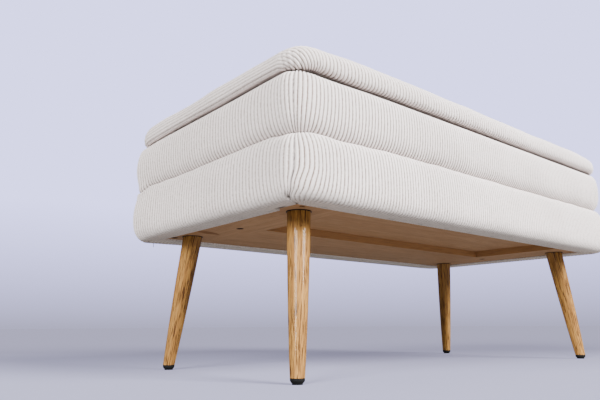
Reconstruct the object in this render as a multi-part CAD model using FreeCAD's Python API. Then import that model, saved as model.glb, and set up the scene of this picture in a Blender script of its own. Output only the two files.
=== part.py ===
import os

import FreeCAD
import Part

V = FreeCAD.Vector
UP = V(0, 0, 1)

# Overall size, millimetres: 800 long (X), 422 deep (Y), 400 high (Z).
UNDER = 202.0                     # underside of the bottom boards
BOARD = 12.0                      # thickness of every structural board
BOX_X, BOX_Y = 376.0, 187.0       # half sizes of the wooden box
BOX_TOP = 349.0                   # top edge of the walls
FLOOR = 6.0                       # floor panel thickness
LINING = 1.5                      # wall lining thickness
FELT = 3.0                        # floor lining thickness
CLOTH = 2.0                       # corduroy with its backing
CORNER = 22.0                     # plan radius of the padding at the box face
LINING_TOP = 325.0                # where the cover's inside turn ends

END_BOARD_X = 276.0               # inner edge of the two end boards
REAR_BOARD_Y = 9.0                # front edge of the wide rear board
RAIL_Y = -170.0                    # inner edge of the narrow front rail, hidden by the hem

# Cover profiles: (distance out from the box face, height).
HEM_END = -18.0
ROLL = [(0, 200), (5, 199), (10, 198.4), (15, 199.6), (19.4, 203.2), (22.4, 210), (23.8, 220),
        (24, 234), (23.6, 250), (22.2, 266), (20.4, 275), (18, 280)]
UPPER = [(18, 280), (20.4, 285), (21.8, 293), (22.5, 306), (22.4, 322), (21.2, 334),
         (18.4, 343), (14, 348.4), (9.5, 350.7), (6, 351)]

# Lid: board half sizes, board underside, and cover profile out from the board edge.
LID_X, LID_Y = 380.0, 191.0
LID_UNDER = 358.0
LID_SKIN = 1.5
LID_CORNER = 24.0
LID_HEM = 356.5
LID_TOP = 400.0
LID_EDGE = [(8, LID_HEM), (10.6, 356.8), (14.4, 359), (16.8, 363), (17.5, 369), (16.2, 377), (12, 384.8),
            (5, 391.4), (-4, 396.2), (-13, 398.9), (-19, 399.8), (-22, LID_TOP)]

# Legs: the top and foot centres, first quadrant.
LEG_TOP = (329.9, 130.4)
LEG_SPLAY = 21.7
LEG_LENGTH = 201.0
LEG_RINGS = [(7.2, 17.2), (50, 21.2), (100, 24.8), (150, 27.6), (LEG_LENGTH, 29.6)]   # z, diameter
WASHER_D, WASHER_T = 32.0, 1.0
GLIDE = [(8.5, 7.2), (8.5, 4.8), (8.2, 3.6), (7.5, 2.6), (6.6, 1.8), (6.2, 1.2), (6.2, 0)]   # radius, z
GLIDE_H = GLIDE[0][1]
BOLT_D = 8.0
BOLT_LOW, BOLT_HIGH = 170.0, 218.0
TNUT_D, TNUT_FLANGE_D, TNUT_FLANGE_T = 10.0, 22.0, 1.5
NAIL_D, NAIL_TOP = 2.5, 24.0

# Hinges at the back.
HINGE_X = 230.0
HINGE_W = 60.0
PIVOT_Y, PIVOT_Z = 209.5, 353.75
KNUCKLE_D, PIN_D = 5.0, 2.5
RUNNING = 0.1
LEAF_T = 1.5
LEAF_Y = 177.0
SCREW_D, SCREW_HEAD_D = 3.0, 6.0

BUMPER_D, BUMPER_H = 10.0, 5.2

# Corner quadrants by name, as signs of X and Y.
CORNERS = {"front_left": (-1, -1), "front_right": (1, -1), "back_left": (-1, 1), "back_right": (1, 1)}
# Sides by name: turn about Z from +X, and whether the side is a long one.
SIDES = {"right": (0, False), "back": (90, True), "left": (180, False), "front": (270, True)}
BOARD_SCREWS = [(sx * x, y) for sx in (-1, 1) for x, y in ((315, 20), (347, 156.5), (347, -156.5))]


def block(x0, x1, y0, y1, z0, z1):
    return Part.makeBox(x1 - x0, y1 - y0, z1 - z0, V(x0, y0, z0))


def rod(x, y, z0, z1, diameter):
    return Part.makeCylinder(diameter / 2, z1 - z0, V(x, y, z0), UP)


def line(a, b):
    return Part.makeLine(V(a[0], 0, a[1]), V(b[0], 0, b[1]))


def curve(points):
    spline = Part.BSplineCurve()
    spline.interpolate([V(u, 0, z) for u, z in points])
    return spline


def inner_points(points, first, last):
    """Points a cloth's thickness inside a profile, with both ends given."""
    spline, count = curve(points), 14
    found = [first]
    for i in range(1, count - 1):
        t = spline.FirstParameter + (spline.LastParameter - spline.FirstParameter) * i / (count - 1)
        p, d = spline.value(t), spline.tangent(t)[0]
        found.append((p.x - CLOTH * d.z, p.z + CLOTH * d.x))
    return found + [last]


def face(edges):
    return Part.Face(Part.Wire(Part.__sortEdges__(edges)))


def chain(points):
    return [line(a, b) for a, b in zip(points, points[1:])]


def body_inner():
    crease, rise = ROLL[-1], 1.2
    roll = inner_points(ROLL, (ROLL[0][0], UNDER), (crease[0] - CLOTH, crease[1] - rise))
    upper = inner_points(UPPER, (crease[0] - CLOTH, crease[1] + rise), (UPPER[-1][0], BOX_TOP))
    return roll, upper


def cover_section():
    roll_in, upper_in = body_inner()
    inside = -BOARD - CLOTH
    top = UPPER[-1][1]
    edges = chain([(HEM_END, UNDER - CLOTH), ROLL[0]]) + [curve(ROLL).toShape(), curve(UPPER).toShape()]
    edges += chain([UPPER[-1], (inside, top), (inside, LINING_TOP), (-BOARD, LINING_TOP), (-BOARD, BOX_TOP),
                    upper_in[-1]])
    edges += chain(upper_in[::-1] + roll_in[::-1])
    return face(edges + chain([roll_in[0], (HEM_END, UNDER), (HEM_END, UNDER - CLOTH)]))


def foam_section():
    roll_in, upper_in = body_inner()
    return face(chain(roll_in + upper_in + [(0, BOX_TOP), roll_in[0]]))


def side_solid(section, distance, half_length, radius):
    """A section swept along one side, with half of each rounded corner."""
    flat = section.copy()
    flat.translate(V(distance, -half_length, 0))
    straight = flat.extrude(V(0, 2 * half_length, 0))
    low = flat.revolve(V(distance - radius, -half_length, 0), UP, -45)
    far = section.copy()
    far.translate(V(distance, half_length, 0))
    high = far.revolve(V(distance - radius, half_length, 0), UP, 45)
    return straight.multiFuse([low, high]).removeSplitter()


def on_side(side, section, half_x, half_y, radius):
    turn, is_long = SIDES[side]
    distance, reach = (half_y, half_x) if is_long else (half_x, half_y)
    solid = side_solid(section, distance, reach - radius, radius)
    solid.rotate(V(0, 0, 0), UP, turn)
    return solid


def wooden_box():
    return block(-BOX_X, BOX_X, -BOX_Y, BOX_Y, UNDER, BOX_TOP)


def walls():
    z0, inside = UNDER + BOARD, BOX_Y - BOARD
    return {
        "front_panel": block(-BOX_X, BOX_X, -BOX_Y, -inside, z0, BOX_TOP),
        "back_panel": block(-BOX_X, BOX_X, inside, BOX_Y, z0, BOX_TOP).cut(box_hinge_screws()),
        "left_panel": block(-BOX_X, -BOX_X + BOARD, -inside, inside, z0, BOX_TOP),
        "right_panel": block(BOX_X - BOARD, BOX_X, -inside, inside, z0, BOX_TOP),
    }


def board_screws():
    screws = [rod(x, y, UNDER + 1, UNDER + 3.5, 8).fuse(rod(x, y, UNDER + 3.5, UNDER + BOARD + 5, 4))
              for x, y in BOARD_SCREWS]
    return Part.makeCompound(screws)


def board_screw_holes():
    holes = [rod(x, y, UNDER, UNDER + 3.5, 8).fuse(rod(x, y, UNDER + 3.5, UNDER + BOARD + 5, 4))
             for x, y in BOARD_SCREWS]
    return Part.makeCompound(holes)


def end_board(sign):
    x0, x1 = sorted((sign * END_BOARD_X, sign * BOX_X))
    board = block(x0, x1, -BOX_Y, BOX_Y, UNDER, UNDER + BOARD).cut(board_screw_holes())
    for sy in (-1, 1):
        x, y = sign * LEG_TOP[0], sy * LEG_TOP[1]
        board = board.cut(rod(x, y, UNDER, UNDER + 1, BOLT_D))
        board = board.cut(rod(x, y, UNDER + 1, UNDER + BOARD, TNUT_D))
    return board


def floor_panel():
    z0 = UNDER + BOARD
    panel = block(-BOX_X + BOARD, BOX_X - BOARD, -BOX_Y + BOARD, BOX_Y - BOARD, z0, z0 + FLOOR)
    for sx, sy in CORNERS.values():
        panel = panel.cut(rod(sx * LEG_TOP[0], sy * LEG_TOP[1], z0, z0 + FLOOR, TNUT_FLANGE_D + 4))
    return panel.cut(board_screw_holes())


def bottom_boards():
    return {
        "rear_bottom_board": block(-END_BOARD_X, END_BOARD_X, REAR_BOARD_Y, BOX_Y, UNDER, UNDER + BOARD),
        "front_bottom_rail": block(-END_BOARD_X, END_BOARD_X, -BOX_Y, RAIL_Y, UNDER, UNDER + BOARD),
        "left_bottom_board": end_board(-1),
        "right_bottom_board": end_board(1),
        "floor_panel": floor_panel(),
    }


def linings():
    x, y = BOX_X - BOARD, BOX_Y - BOARD
    z0 = UNDER + BOARD + FLOOR
    z1 = z0 + FELT
    return {
        "floor_lining": block(-x, x, -y, y, z0, z1),
        "front_lining": block(-x, x, -y, -y + LINING, z1, LINING_TOP),
        "back_lining": block(-x, x, y - LINING, y, z1, LINING_TOP),
        "left_lining": block(-x, -x + LINING, -y + LINING, y - LINING, z1, LINING_TOP),
        "right_lining": block(x - LINING, x, -y + LINING, y - LINING, z1, LINING_TOP),
    }


def paddings():
    made = {}
    box, screws = wooden_box(), box_hinge_screws()
    for side in SIDES:
        made[side + "_foam"] = on_side(side, foam_section(), BOX_X, BOX_Y, CORNER).cut(box)
        made[side + "_cover"] = on_side(side, cover_section(), BOX_X, BOX_Y, CORNER)
    made["back_cover"] = made["back_cover"].cut(screws)
    return made


def hem_staples():
    z1 = UNDER - CLOTH
    z0 = z1 - 0.6
    made = []
    for sign in (-1, 1):
        y = sign * (BOX_Y - 10)
        made += [block(x - 5, x + 5, y - 0.6, y + 0.6, z0, z1) for x in range(-330, 331, 60)]
        x = sign * (BOX_X - 10)
        made += [block(x - 0.6, x + 0.6, y - 5, y + 5, z0, z1) for y in range(-120, 121, 60)]
    return Part.makeCompound(made)


def leg_centre(sx, sy, z):
    shift = LEG_SPLAY * (LEG_LENGTH - z) / LEG_LENGTH
    return sx * (LEG_TOP[0] + shift), sy * (LEG_TOP[1] + shift)


def ring_wire(x, y, z, diameter):
    return Part.Wire(Part.makeCircle(diameter / 2, V(x, y, z), UP))


def leg(sx, sy):
    top, foot = leg_centre(sx, sy, LEG_LENGTH), leg_centre(sx, sy, GLIDE_H)
    shape = Part.makeLoft([ring_wire(*leg_centre(sx, sy, z), z, d) for z, d in LEG_RINGS], True)
    shape = shape.cut(rod(*top, BOLT_LOW, LEG_LENGTH, BOLT_D))
    return shape.cut(rod(*foot, GLIDE_H, NAIL_TOP, NAIL_D))


def glide(sx, sy):
    x, y = leg_centre(sx, sy, GLIDE_H)
    outline = [V(0, 0, GLIDE_H)] + [V(r, 0, z) for r, z in GLIDE] + [V(0, 0, 0), V(0, 0, GLIDE_H)]
    shape = Part.Face(Part.makePolygon(outline)).revolve(V(0, 0, 0), UP, 360)
    shape.translate(V(x, y, 0))
    return shape.cut(rod(x, y, 2, GLIDE_H, NAIL_D))


def glide_nails():
    nails = [rod(*leg_centre(sx, sy, GLIDE_H), 2, NAIL_TOP, NAIL_D) for sx, sy in CORNERS.values()]
    return Part.makeCompound(nails)


def washer(x, y):
    return rod(x, y, UNDER - WASHER_T, UNDER, WASHER_D).cut(rod(x, y, UNDER - WASHER_T, UNDER, BOLT_D))


def t_nut(x, y):
    top = UNDER + BOARD
    shape = rod(x, y, UNDER + 1, top, TNUT_D).fuse(rod(x, y, top, top + TNUT_FLANGE_T, TNUT_FLANGE_D))
    return shape.cut(rod(x, y, UNDER + 1, top + TNUT_FLANGE_T, BOLT_D))


def leg_sets():
    made = {}
    for name, (sx, sy) in CORNERS.items():
        x, y = sx * LEG_TOP[0], sy * LEG_TOP[1]
        made["leg_" + name] = leg(sx, sy)
        made["leg_washer_" + name] = washer(x, y)
        made["leg_bolt_" + name] = rod(x, y, BOLT_LOW, BOLT_HIGH, BOLT_D)
        made["t_nut_" + name] = t_nut(x, y)
        made["glide_" + name] = glide(sx, sy)
    return made


def x_rod(x0, x1, diameter):
    return Part.makeCylinder(diameter / 2, x1 - x0, V(x0, PIVOT_Y, PIVOT_Z), V(1, 0, 0))


def hinge(sign):
    """Box leaf with two outer knuckles, lid leaf with the middle one, and the pin."""
    x0, x1 = sign * HINGE_X - HINGE_W / 2, sign * HINGE_X + HINGE_W / 2
    m0, m1 = x0 + HINGE_W / 3, x1 - HINGE_W / 3
    play = 0.4
    neck = PIVOT_Y - KNUCKLE_D / 2 - 1
    low, high = UPPER[-1][1], LID_HEM
    box_leaf = block(x0, x1, LEAF_Y, PIVOT_Y, low, low + LEAF_T)
    box_leaf = box_leaf.cut(block(m0 - play, m1 + play, neck, PIVOT_Y + 3, low - 1, high))
    box_leaf = box_leaf.fuse(x_rod(x0, m0 - play, KNUCKLE_D)).fuse(x_rod(m1 + play, x1, KNUCKLE_D))
    box_leaf = box_leaf.cut(x_rod(x0, x1, PIN_D)).cut(box_hinge_screws())
    lid_leaf = block(x0, x1, LEAF_Y, neck, high - LEAF_T, high)
    lid_leaf = lid_leaf.fuse(block(m0, m1, neck, PIVOT_Y, high - LEAF_T, high))
    lid_leaf = lid_leaf.fuse(x_rod(m0, m1, KNUCKLE_D)).cut(x_rod(x0, x1, PIN_D + 2 * RUNNING))
    lid_leaf = lid_leaf.cut(lid_hinge_screws())
    return box_leaf, lid_leaf, x_rod(x0, x1, PIN_D)


def box_hinge_screws():
    head = UPPER[-1][1] + LEAF_T
    screws = []
    for sign in (-1, 1):
        for dx in (-22, 0, 22):
            x = sign * HINGE_X + dx
            shank = rod(x, 181, head - 20, head, SCREW_D)
            screws.append(rod(x, 181, head, head + 0.9, SCREW_HEAD_D).fuse(shank))
    return Part.makeCompound(screws)


def lid_hinge_screws():
    head = LID_HEM - LEAF_T
    screws = []
    for sign in (-1, 1):
        for dx in (-11, 11):
            x = sign * HINGE_X + dx
            shank = rod(x, 186, head, head + 12, SCREW_D)
            screws.append(rod(x, 186, head - 0.9, head, SCREW_HEAD_D).fuse(shank))
    return Part.makeCompound(screws)


def hinges():
    made = {}
    for name, sign in (("left", -1), ("right", 1)):
        parts = hinge(sign)
        for piece, shape in zip(("hinge_box_leaf_", "hinge_lid_leaf_", "hinge_pin_"), parts):
            made[piece + name] = shape
    made["box_hinge_screws"] = box_hinge_screws()
    made["lid_hinge_screws"] = lid_hinge_screws()
    return made


def bumpers():
    z = UPPER[-1][1]
    made = [rod(sx * 330, sy * 181, z, z + BUMPER_H, BUMPER_D) for sx, sy in CORNERS.values()]
    return Part.makeCompound(made)


def lid_block(inner):
    """The whole rounded lid, or with inner the same shape less the cover."""
    low, high, points, edge = LID_HEM, LID_TOP, LID_EDGE, [curve(LID_EDGE).toShape()]
    if inner:
        low, high = LID_UNDER, LID_TOP - CLOTH
        points = inner_points(LID_EDGE, (LID_EDGE[0][0], low), (LID_EDGE[-1][0], high))
        edge = chain(points)
    axis = -LID_CORNER
    section = face(edge + chain([points[-1], (axis, high), (axis, low), points[0]]))
    core = block(-LID_X + LID_CORNER, LID_X - LID_CORNER, -LID_Y + LID_CORNER, LID_Y - LID_CORNER, low, high)
    edges = [on_side(side, section, LID_X, LID_Y, LID_CORNER) for side in SIDES]
    return core.multiFuse(edges).removeSplitter()


def lid_parts():
    whole, core = lid_block(False), lid_block(True)
    sheet = block(-LID_X + 14, LID_X - 14, -LID_Y + 14, LID_Y - 14, LID_HEM, LID_UNDER)
    board = block(-LID_X, LID_X, -LID_Y, LID_Y, LID_UNDER, LID_UNDER + BOARD)
    cover = whole.cut(core).cut(sheet)
    return {
        "lid_board": board.common(core).cut(lid_hinge_screws()),
        "lid_foam": core.cut(board),
        "lid_cover": cover.cut(lid_hinge_screws()),
        "lid_lining": sheet.cut(lid_hinge_screws()),
    }


def main():
    os.makedirs("parts", exist_ok=True)
    nodes = {}
    for group in (walls(), bottom_boards(), linings(), paddings(), leg_sets(), hinges(), lid_parts()):
        nodes.update(group)
    nodes["board_screws"] = board_screws()
    nodes["hem_staples"] = hem_staples()
    nodes["glide_nails"] = glide_nails()
    nodes["bumpers"] = bumpers()
    for name, shape in nodes.items():
        print(name, shape.isValid(), len(shape.Solids), round(shape.Volume), shape.BoundBox)
        shape.exportStep("parts/" + name + ".step")


main()
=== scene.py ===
import math

import bpy
import numpy as np
from mathutils import Euler, Matrix, Vector


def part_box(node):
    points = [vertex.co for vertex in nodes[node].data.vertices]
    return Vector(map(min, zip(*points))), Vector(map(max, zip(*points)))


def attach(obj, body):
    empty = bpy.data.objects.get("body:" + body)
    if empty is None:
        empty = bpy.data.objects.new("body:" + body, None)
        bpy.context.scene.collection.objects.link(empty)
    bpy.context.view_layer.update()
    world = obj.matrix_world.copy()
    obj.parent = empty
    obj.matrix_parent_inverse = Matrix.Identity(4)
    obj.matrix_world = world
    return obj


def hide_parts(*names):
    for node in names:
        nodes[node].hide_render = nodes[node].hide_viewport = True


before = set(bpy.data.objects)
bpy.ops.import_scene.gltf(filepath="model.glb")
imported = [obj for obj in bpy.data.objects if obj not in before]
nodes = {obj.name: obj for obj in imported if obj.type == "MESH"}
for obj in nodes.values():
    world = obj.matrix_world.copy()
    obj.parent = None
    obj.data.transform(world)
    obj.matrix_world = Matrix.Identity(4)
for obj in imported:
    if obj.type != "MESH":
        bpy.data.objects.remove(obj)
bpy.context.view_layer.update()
mm = 0.001


# small helpers

def smoothStep(low, high, x):
    t = np.clip((np.asarray(x, float) - low) / (high - low), 0, 1)
    return t * t * (3 - 2 * t)


def bell(x, width):
    return np.exp(-(np.asarray(x, float) / width) ** 2)


def throughPoints(points, count, crowd=0.5):
    # a smooth line through the points; crowd gathers the samples towards both ends
    p = np.array(points, float)
    d = np.r_[0, np.cumsum(np.linalg.norm(np.diff(p, axis=0), axis=1))]
    slope = np.gradient(p, d, axis=0)
    share = np.linspace(0, 1, count)
    share = (1 - crowd) * share + crowd * (1 - np.cos(math.pi * share)) / 2
    x = share * d[-1]
    i = np.clip(np.searchsorted(d, x, side="right") - 1, 0, len(d) - 2)
    h = (d[i + 1] - d[i])[:, None]
    t = (x - d[i])[:, None] / h
    return ((2 * t**3 - 3 * t**2 + 1) * p[i] + (t**3 - 2 * t**2 + t) * h * slope[i]
            + (3 * t**2 - 2 * t**3) * p[i + 1] + (t**3 - t**2) * h * slope[i + 1])


def softNoise(x, y, seed, size, waves=9):
    rng = np.random.default_rng(seed)
    total = 0 * (x + y)
    for _ in range(waves):
        angle, phase = rng.uniform(0, math.tau, 2)
        length = size * rng.uniform(0.6, 1.8)
        total = total + np.sin((x * math.cos(angle) + y * math.sin(angle)) * math.tau / length + phase)
    return total / math.sqrt(waves)


def gridNormals(place):
    n = np.cross(np.gradient(place, axis=1), np.gradient(place, axis=0))
    size = np.linalg.norm(n, axis=2, keepdims=True)
    return n / np.maximum(size, 1e-9)


def meshPiece(name, points, faces, body, material, marks=None):
    mesh = bpy.data.meshes.new(name)
    mesh.from_pydata((np.asarray(points) * mm).tolist(), [], faces)
    for markName, values in (marks or {}).items():
        mesh.attributes.new(markName, "FLOAT", "POINT").data.foreach_set("value", np.asarray(values, np.float32))
    mesh.polygons.foreach_set("use_smooth", [True] * len(mesh.polygons))
    mesh.materials.append(material)
    piece = bpy.data.objects.new(name, mesh)
    bpy.context.scene.collection.objects.link(piece)
    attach(piece, body)
    return piece


def gridFaces(rows, columns, keep=None):
    r, c = np.meshgrid(np.arange(rows - 1), np.arange(columns - 1), indexing="ij")
    a = (r * columns + c).ravel()
    quads = np.stack([a, a + 1, a + columns + 1, a + columns], axis=1)
    return quads if keep is None else quads[keep.ravel()]


# camera, at the viewing height of someone lying on the floor

viewpoint = {"place": (-0.7723, -0.6538, 0.0642), "yaw": 0.704, "pitch": 0.2189, "roll": -0.0055, "lens": 33.83}


def addCamera():
    data = bpy.data.cameras.new("mainCamera")
    data.lens, data.sensor_width, data.clip_start = viewpoint["lens"], 36, 0.01
    camera = bpy.data.objects.new("mainCamera", data)
    turn = Euler((math.pi / 2 + viewpoint["pitch"], 0, -viewpoint["yaw"])).to_matrix()
    turn = turn @ Matrix.Rotation(viewpoint["roll"], 3, "Z")
    camera.matrix_world = Matrix.Translation(viewpoint["place"]) @ turn.to_4x4()
    bpy.context.scene.collection.objects.link(camera)
    bpy.context.scene.camera = camera


addCamera()
print("camera placed")


# materials

def newMaterial(name):
    material = bpy.data.materials.new(name)
    material.use_nodes = True
    tree = material.node_tree
    return material, tree, tree.nodes["Principled BSDF"]


def feed(tree, socket, value):
    # a node's input takes either another node's output or a fixed value
    if isinstance(value, bpy.types.NodeSocket):
        tree.links.new(value, socket)
    else:
        socket.default_value = value


def addNode(tree, kind, inputs=None, **settings):
    node = tree.nodes.new(kind)
    for key, value in settings.items():
        setattr(node, key, value)
    for key, value in (inputs or {}).items():
        feed(tree, node.inputs[key], value)
    return node


def mixColour(tree, factor, a, b):
    return addNode(tree, "ShaderNodeMix", {0: factor, 6: a, 7: b}, data_type="RGBA").outputs[2]


def mathNode(tree, operation, a, b=0.0):
    return addNode(tree, "ShaderNodeMath", {0: a, 1: b}, operation=operation).outputs[0]


def addNoise(tree, vector, scale, detail, roughness=0.5):
    values = {"Vector": vector, "Scale": scale, "Detail": detail, "Roughness": roughness}
    return addNode(tree, "ShaderNodeTexNoise", values)


def mapRange(tree, value, low, high, toLow=0.0, toHigh=1.0):
    return addNode(tree, "ShaderNodeMapRange", {0: value, 1: low, 2: high, 3: toLow, 4: toHigh}).outputs[0]


def newGroup(name, inputs, outputs):
    tree = bpy.data.node_groups.new(name, "ShaderNodeTree")
    for socketName, kind, value in inputs:
        socket = tree.interface.new_socket(name=socketName, in_out="INPUT", socket_type=kind)
        if value is not None:
            socket.default_value = value
    for socketName, kind in outputs:
        tree.interface.new_socket(name=socketName, in_out="OUTPUT", socket_type=kind)
    return tree, tree.nodes.new("NodeGroupInput").outputs, tree.nodes.new("NodeGroupOutput").inputs


def useGroup(tree, group, **inputs):
    node = tree.nodes.new("ShaderNodeGroup")
    node.node_tree = group
    for key, value in inputs.items():
        feed(tree, node.inputs[key], value)
    return node.outputs


def makeFibreGroup():
    # short fibres and slow blotches, for every cloth
    tree, given, out = newGroup(
        "clothFibres", [("Vector", "NodeSocketVector", None), ("Fineness", "NodeSocketFloat", 900.0)],
        [("Fibre", "NodeSocketFloat"), ("Blotch", "NodeSocketFloat")])
    fibre = addNoise(tree, given["Vector"], given["Fineness"], 3.0, 0.65)
    blotch = addNoise(tree, given["Vector"], 9.0, 3.0)
    tree.links.new(fibre.outputs["Fac"], out["Fibre"])
    tree.links.new(blotch.outputs["Fac"], out["Blotch"])
    return tree


def makeGrainGroup():
    # oak figure with the grain along local X: slow bands, fine lines and short dark pores
    tree, given, out = newGroup(
        "oakGrain", [("Vector", "NodeSocketVector", None), ("Bands", "NodeSocketFloat", 60.0),
                     ("Waviness", "NodeSocketFloat", 3.0)],
        [("Figure", "NodeSocketFloat"), ("Lines", "NodeSocketFloat"), ("Pores", "NodeSocketFloat")])
    long = addNode(tree, "ShaderNodeMapping", {"Vector": given["Vector"], "Scale": (0.09, 1.0, 1.0)}).outputs[0]
    bend = addNoise(tree, long, 14.0, 2.0).outputs["Color"]
    wavy = mathNode(tree, "MULTIPLY", given["Waviness"], 0.01)
    shift = addNode(tree, "ShaderNodeVectorMath", {0: bend, "Scale": wavy}, operation="SCALE").outputs[0]
    moved = addNode(tree, "ShaderNodeVectorMath", {0: long, 1: bend, 2: shift}, operation="MULTIPLY_ADD").outputs[0]
    figure = addNoise(tree, moved, given["Bands"], 2.5, 0.55)
    tree.links.new(mapRange(tree, figure.outputs["Fac"], 0.32, 0.68), out["Figure"])
    lines = addNoise(tree, moved, 420.0, 3.0, 0.6)
    tree.links.new(mapRange(tree, lines.outputs["Fac"], 0.3, 0.7), out["Lines"])
    short = addNode(tree, "ShaderNodeMapping", {"Vector": given["Vector"], "Scale": (0.035, 1.0, 1.0)}).outputs[0]
    pore = addNoise(tree, short, 850.0, 1.5)
    tree.links.new(mapRange(tree, pore.outputs["Fac"], 0.53, 0.62), out["Pores"])
    return tree


fibreGroup = makeFibreGroup()
grainGroup = makeGrainGroup()


def objectVector(tree, turn=(0, 0, 0), centre=(0, 0, 0)):
    place = addNode(tree, "ShaderNodeTexCoord").outputs["Object"]
    return addNode(tree, "ShaderNodeMapping", {"Vector": place, "Location": centre, "Rotation": turn}).outputs[0]


def addBump(tree, shader, height, strength, distance):
    node = addNode(tree, "ShaderNodeBump", {"Height": height, "Strength": strength, "Distance": distance})
    tree.links.new(node.outputs[0], shader.inputs["Normal"])


# the valley colour and the darkest colour stand for painted shade
corduroyLook = {"crest": (0.92, 0.83, 0.81, 1), "soft": (0.85, 0.765, 0.745, 1), "valley": (0.17, 0.108, 0.072, 1),
                "paintedShade": (0.06, 0.045, 0.036, 1), "fibre": (0.55, 0.52, 0.49, 1), "specular": 0.15, "sheen": 0.2,
                "sheenRoughness": 0.5}


def makeCorduroy():
    material, tree, shader = newMaterial("creamCorduroy")
    rib = addNode(tree, "ShaderNodeAttribute", attribute_name="rib").outputs["Fac"]
    shade = addNode(tree, "ShaderNodeAttribute", attribute_name="shade").outputs["Fac"]
    fibre = useGroup(tree, fibreGroup, Vector=objectVector(tree), Fineness=1100.0)
    crest = mixColour(tree, mapRange(tree, fibre["Blotch"], 0.35, 0.65), corduroyLook["crest"], corduroyLook["soft"])
    fleck = addNoise(tree, objectVector(tree), 420.0, 2.0).outputs["Fac"]
    # the valleys between the ribs are darker from the rib mark: painted shade, made uneven by the fleck noise
    uneven = mathNode(tree, "ADD", rib, mapRange(tree, fleck, 0.3, 0.7, -0.16, 0.16))
    base = mixColour(tree, mapRange(tree, uneven, 0.0, 0.78), corduroyLook["valley"], crest)
    base = mixColour(tree, mapRange(tree, fibre["Fibre"], 0.35, 0.65, 0.0, 0.12), base, corduroyLook["fibre"])
    # painted shade from the shade mark: creases, seams, tucks, the roll's underside and the gap under the lid
    base = mixColour(tree, shade, base, corduroyLook["paintedShade"])
    tree.links.new(base, shader.inputs["Base Color"])
    tree.links.new(mapRange(tree, fibre["Fibre"], 0.3, 0.7, 0.84, 0.97), shader.inputs["Roughness"])
    shader.inputs["Specular IOR Level"].default_value = corduroyLook["specular"]
    shader.inputs["Sheen Weight"].default_value = corduroyLook["sheen"]
    shader.inputs["Sheen Roughness"].default_value = corduroyLook["sheenRoughness"]
    addBump(tree, shader, fibre["Fibre"], 0.5, 0.0006)
    return material


def makeCloth(name, light, dark, fineness, roughness):
    material, tree, shader = newMaterial(name)
    fibre = useGroup(tree, fibreGroup, Vector=objectVector(tree), Fineness=fineness)
    tree.links.new(mixColour(tree, fibre["Fibre"], dark, light), shader.inputs["Base Color"])
    tree.links.new(mapRange(tree, fibre["Blotch"], 0.3, 0.7, roughness - 0.08, roughness), shader.inputs["Roughness"])
    shader.inputs["Specular IOR Level"].default_value = 0.25
    addBump(tree, shader, fibre["Fibre"], 0.6, 0.0008)
    return material


def makeOak(name, look, turn=(0, 0, 0), centre=(0, 0, 0)):
    material, tree, shader = newMaterial(name)
    place = objectVector(tree, turn, centre)
    grain = useGroup(tree, grainGroup, Vector=place, Bands=look["bands"], Waviness=look["waviness"])
    colour = mixColour(tree, grain["Figure"], look["early"], look["late"])
    if "edge" in look:
        facing = addNode(tree, "ShaderNodeSeparateXYZ", {0: addNode(tree, "ShaderNodeNewGeometry").outputs["Normal"]})
        upright = mapRange(tree, mathNode(tree, "ABSOLUTE", facing.outputs[2]), 0.3, 0.7, 1.0, 0.0)
        colour = mixColour(tree, upright, colour, look["edge"])
    colour = mixColour(tree, mathNode(tree, "MULTIPLY", grain["Lines"], look["lineDepth"]), colour, look["line"])
    colour = mixColour(tree, mathNode(tree, "MULTIPLY", grain["Pores"], look["poreDepth"]), colour, look["pore"])
    # painted shade: dark discs over the screw holes, where the counterbores lie in shade
    for place in look["bores"]:
        colour = mixColour(tree, boreShadeMask(tree, place, look["boreEdge"]), colour, look["boreShade"])
    if "knot" in look:
        colour = mixColour(tree, knotMask(tree, look["knot"]), colour, look["knot"]["colour"])
    tree.links.new(colour, shader.inputs["Base Color"])
    rough = mapRange(tree, grain["Lines"], 0, 1, look["roughness"], look["roughness"] + 0.12)
    tree.links.new(rough, shader.inputs["Roughness"])
    shader.inputs["Specular IOR Level"].default_value = look["specular"]
    shader.inputs["Coat Weight"].default_value = look["coat"]
    shader.inputs["Coat Roughness"].default_value = look["coatRoughness"]
    height = mathNode(tree, "SUBTRACT", mathNode(tree, "MULTIPLY", grain["Lines"], 0.3), grain["Pores"])
    addBump(tree, shader, height, look["bump"], 0.0004)
    return material


def boreShadeMask(tree, place, edge):
    apart = addNode(tree, "ShaderNodeSeparateXYZ", {0: addNode(tree, "ShaderNodeTexCoord").outputs["Object"]})
    across, along = (mathNode(tree, "SUBTRACT", apart.outputs[axis], place[axis]) for axis in (0, 1))
    point = addNode(tree, "ShaderNodeCombineXYZ", {0: across, 1: along}).outputs[0]
    away = addNode(tree, "ShaderNodeVectorMath", {0: point}, operation="LENGTH").outputs["Value"]
    return mapRange(tree, away, *edge)


def knotMask(tree, knot):
    # a long leaf-shaped figure: two shifted discs where they overlap
    place = addNode(tree, "ShaderNodeTexCoord").outputs["Object"]
    noise = addNoise(tree, place, 40.0, 3.0).outputs["Color"]
    wobble = addNode(tree, "ShaderNodeVectorMath", {0: noise, "Scale": knot["wobble"]}, operation="SCALE").outputs[0]
    local = addNode(tree, "ShaderNodeVectorMath", {0: place, 1: wobble}, operation="ADD").outputs[0]
    for step in ({"Location": knot["place"]}, {"Rotation": (0, 0, knot["turn"])}):
        local = addNode(tree, "ShaderNodeMapping", {"Vector": local, **step}, vector_type="TEXTURE").outputs[0]
    apart = addNode(tree, "ShaderNodeSeparateXYZ", {0: local})
    long = mathNode(tree, "DIVIDE", apart.outputs[0], knot["length"])
    across = mathNode(tree, "DIVIDE", apart.outputs[1], knot["width"])
    reach = mathNode(tree, "ADD", mathNode(tree, "MULTIPLY", long, long), mathNode(tree, "ABSOLUTE", across))
    return mapRange(tree, reach, 0.75, 1.05, knot["depth"], 0.0)


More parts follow.
